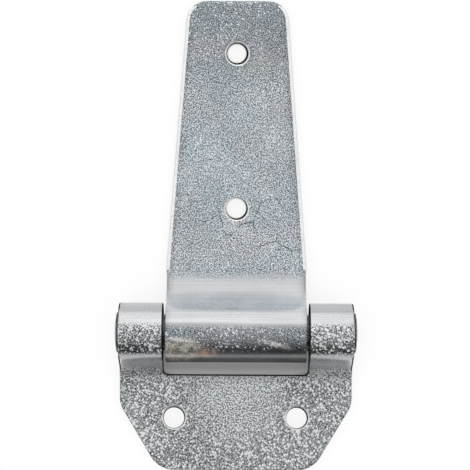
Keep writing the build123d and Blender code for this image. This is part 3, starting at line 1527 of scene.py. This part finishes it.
    def walls(self) -> None:
        """Shades the room from light at the strap's end to dark at the base's."""
        world = bpy.data.worlds.new("room")
        world.use_nodes = True
        bpy.context.scene.world = world
        nodes, links = world.node_tree.nodes, world.node_tree.links
        place = nodes.new("ShaderNodeTexCoord")
        split = nodes.new("ShaderNodeSeparateXYZ")
        links.new(place.outputs["Generated"], split.inputs[0])
        spread = nodes.new("ShaderNodeMapRange")
        spread.inputs["From Min"].default_value = -1.0
        links.new(split.outputs["Y"], spread.inputs[0])
        ramp = nodes.new("ShaderNodeValToRGB")
        links.new(spread.outputs[0], ramp.inputs[0])
        stops = ramp.color_ramp.elements
        for index, (at, level) in enumerate(self.room):
            stop = stops[index] if index < 2 else stops.new(at)
            stop.position = at
            stop.color = (level, level, level, 1)
        links.new(ramp.outputs[0], nodes["Background"].inputs[0])

    def build(self) -> None:
        """Sets up the whole studio."""
        self.floor()
        self.lamp()
        self.walls()
        self.camera()
        bpy.context.scene.view_settings.view_transform = "Standard"


def mount_holes(record: dict, name: str) -> tuple[list[Point], float]:
    """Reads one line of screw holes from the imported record.

    Args:
        record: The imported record.
        name: Name of the mount.

    Returns:
        The holes' middles, and their radius, in metres.
    """
    mount = next(m for m in record["mounts"] if m["name"] == name)
    middle = Vector(mount["pos_m"])
    spacing = Vector((mount["dims"].get("spacing_x_mm", 0), mount["dims"].get("spacing_y_mm", 0), 0)) * MM
    places = [tuple(middle + spacing * share) for share in (-0.5, 0.5)]
    return places, mount["dims"]["hole_r_mm"] * MM


def strap_plating(axis_y: float) -> Material:
    """Fine grain on the strap with a bright bend that painted shade tones down, painted light on the ramp and
    the flat beyond the bend, painted shade on the knuckle's front and lower half and along the sides, and
    darker at the tip.

    Args:
        axis_y: Where the pin's axis is along Y.

    Returns:
        The material.
    """
    return ZincPlating(
        "strap_plating", axis_y, (Band(15.6 * MM, 1.0, 2.2 * MM), Band(-4.6 * MM, 2.0 * MM)), STRAP_RUBS_AND_SHADE,
        # Painted light and shade in bands: a lighter ramp, a slightly darker bend, a lighter flat beyond it,
        # and a darker front and lower half of the knuckle.
        painted_light_bands=((Band(6.6 * MM, 10.4 * MM, 1.4 * MM), 1.45), (Band(11.8 * MM, 17 * MM, 1.4 * MM), 0.92),
               (Band(19 * MM, 29 * MM, 4 * MM), 1.09),
               (Band(-9 * MM, 2.9 * MM, 0.7 * MM), 0.60), (Band(-9 * MM, -5.2 * MM, 1.0 * MM), 0.66),
               (Band(-9 * MM, -7.1 * MM, 0.5 * MM), 0.75)),
        # The strap's borders get painted shade.
        scratched=Band(21 * MM, 37 * MM, 3 * MM), sides=SideShade(20.8 * MM, 0.075, 3.2 * MM, 0.72),
        tip_shade=0.69, fleck_colour=(0.93, 0.97, 1.0), fleck=0.56 * MM, fleck_size=0.40, scarcity=0.55,
        pit_size=0.30, clusters=2.0, knuckle_flecks=1.2,
    ).material()


def base_plating(axis_y: float) -> Material:
    """Coarse grain with white flecks on the base and the outer knuckles, with painted light on the ramp and
    bend between them and painted shade low on the knuckles and on their upper sides.

    Args:
        axis_y: Where the pin's axis is along Y.

    Returns:
        The material.
    """
    return ZincPlating(
        "base_plating", axis_y, (Band(-1.0, -9.4 * MM, 1.3 * MM), Band(-5.6 * MM, 2.6 * MM)),
        # Painted light and shade in bands: a lighter ramp and bend, and darker bands low on the knuckles and
        # on their upper sides.
        painted_light_bands=((Band(-13.4 * MM, -7.4 * MM, 0.9 * MM), 1.75), (Band(-7.2 * MM, -5.8 * MM, 0.5 * MM), 0.85),
               (Band(-11.7 * MM, -9.8 * MM, 0.5 * MM), 1.25), (Band(5.8 * MM, 9 * MM, 0.6 * MM), 0.88)),
        dull=(0.026, 0.033, 0.042), clean=(0.95, 0.985, 1.0), tarnish=(0.96, 0.97, 1.0),
        fleck_colour=(0.96, 0.99, 1.0), grain=0.37 * MM, grain_low=0.44, lightness=0.13, fleck=0.66 * MM,
        fleck_size=0.64, knuckle_flecks=1.08, ground_shade=0.66, calm=9 * MM, calm_share=0.1,
    ).material()


def cut_finishes() -> dict[Surface, Material]:
    """Finishes of the edges and walls, which both leaves share.

    Returns:
        The material of each of those surfaces.
    """
    finishes = {
        Surface.EDGE: BurnishedAndShade("rubbed_edges"),
        # Painted shade: the walls of the holes and of the gaps between the knuckles are near black and matt.
        Surface.BORE: BurnishedAndShade("punched_bores", (0.004, 0.004, 0.004), (0.03, 0.03, 0.03), 0.6, 0.0),
        Surface.GAP: BurnishedAndShade("gap_walls", (0.015, 0.015, 0.015), (0.05, 0.05, 0.05), 0.6, 0.0),
        Surface.WALL: BurnishedAndShade("sheared_walls", (0.22, 0.225, 0.23), (0.62, 0.625, 0.63), 0.4),
    }
    return {surface: finish.material() for surface, finish in finishes.items()}


def main() -> None:
    """Builds the hinge's pieces and the studio round them, and reports each piece."""
    logging.basicConfig(level=logging.INFO, format="%(message)s")
    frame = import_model()
    cad_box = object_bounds()
    record = frame["record"]
    axis = Vector(frame["joints"][0]["pos_m"])
    strap_holes, hole_radius = mount_holes(record, "strap_holes")
    base_holes, _ = mount_holes(record, "base_holes")
    strap_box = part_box("strap_leaf")
    base_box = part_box("base_leaf")
    strap = StrapLeaf(
        name="strap", node="strap_leaf", body=Body.STRAP, slot="strap_plating", reach=Reach.UP, axis=axis,
        length=strap_box[1].y - axis.y, width=strap_box[1].x - strap_box[0].x,
        ramp_angle=64.5, bend_radius=9.0 * MM,
        holes=[Hole(strap_holes[0], hole_radius, 2.88 * MM, (-0.20 * MM, 0.24 * MM)),
               Hole(strap_holes[1], hole_radius, 2.70 * MM, (-0.20 * MM, 0.32 * MM))],
    )
    base = BaseLeaf(
        name="base_plate", node="base_leaf", body=Body.BASE, slot="base_plating", reach=Reach.DOWN, axis=axis,
        length=axis.y - base_box[0].y, width=base_box[1].x - base_box[0].x,
        ramp_angle=68.0, bend_radius=5.5 * MM, edge_round=0.45 * MM, gap_depth=13.0 * MM,
        holes=[Hole(base_holes[0], hole_radius, 2.88 * MM, (-0.18 * MM, -0.44 * MM)),
               Hole(base_holes[1], hole_radius, 2.88 * MM, (-0.10 * MM, -0.38 * MM))],
    )
    strap_sheet = strap_plating(axis.y)
    base_sheet = base_plating(axis.y)
    # Near black like the pin's ends, which also paints shade where the shank shows in the gaps between the
    # knuckles.
    pin_finish_and_shade = BurnishedAndShade("pin_plating", dull=(0.03, 0.03, 0.03), bright=(0.16, 0.16, 0.16)).material()
    cut = cut_finishes()
    pieces = [
        strap.build({Surface.FRONT: strap_sheet, Surface.BACK: strap_sheet, **cut}),
        base.build({Surface.FRONT: base_sheet, Surface.BACK: base_sheet, **cut}),
        HingePin(axis).build(pin_finish_and_shade),
    ]
    for piece in pieces:
        LOG.info("%s: %d faces", piece.name, len(piece.data.polygons))
    aim = Vector((-0.45 * MM, axis.y + 27.15 * MM, strap.sheet))
    Studio(aim, knuckle_y=axis.y).build()
    boxes = {"cad": cad_box, "visual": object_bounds()}
    sizes = {name: [list(corner) for corner in box] for name, box in boxes.items()}


if __name__ == "__main__":
    main()
